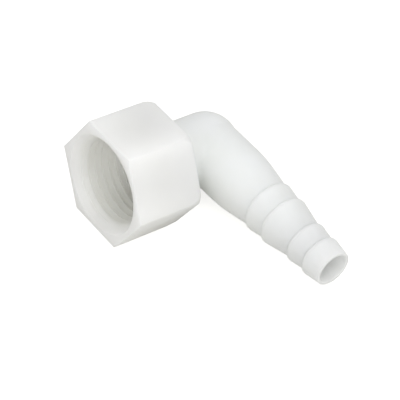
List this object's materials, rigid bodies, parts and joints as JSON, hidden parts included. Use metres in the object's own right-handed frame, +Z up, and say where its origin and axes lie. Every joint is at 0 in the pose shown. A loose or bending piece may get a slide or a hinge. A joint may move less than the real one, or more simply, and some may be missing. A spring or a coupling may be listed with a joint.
{
  "type": "barbed swivel elbow",
  "caption": "Right-angle plastic hose fitting: a hexagonal union nut with a female pipe thread turns freely on the stub of a one-piece elbow with a stepped hose barb.",
  "frame": {"origin": "centre of the footprint, on the surface that the fitting lies on", "axes": "+Z up; the hose tail points to -Y, drooping by 1.4 degrees; the nut's axis runs towards +X, from its mouth to the elbow's ball corner, and dips by 20.5 degrees on the way"},
  "size_m": [0.0386, 0.0588, 0.0295],
  "materials": {
    "nut_nylon": "natural nylon, injection moulded, satin",
    "elbow_nylon": "natural nylon, injection moulded, satin",
    "washer_silicone": "translucent silicone rubber, moulded, matt"
  },
  "bodies": {
    "elbow": {"barbed_elbow": "elbow_nylon", "sealing_washer": "washer_silicone"},
    "nut": {"swivel_nut": "nut_nylon"}
  },
  "joints": [
    {"name": "nut_swivel", "type": "hinge", "parent": "elbow", "child": "nut", "pos_m": [-0.00743, 0.01494, 0.01482], "axis": [0.9367, 0.0087, -0.35], "continuous": true}
  ]
}
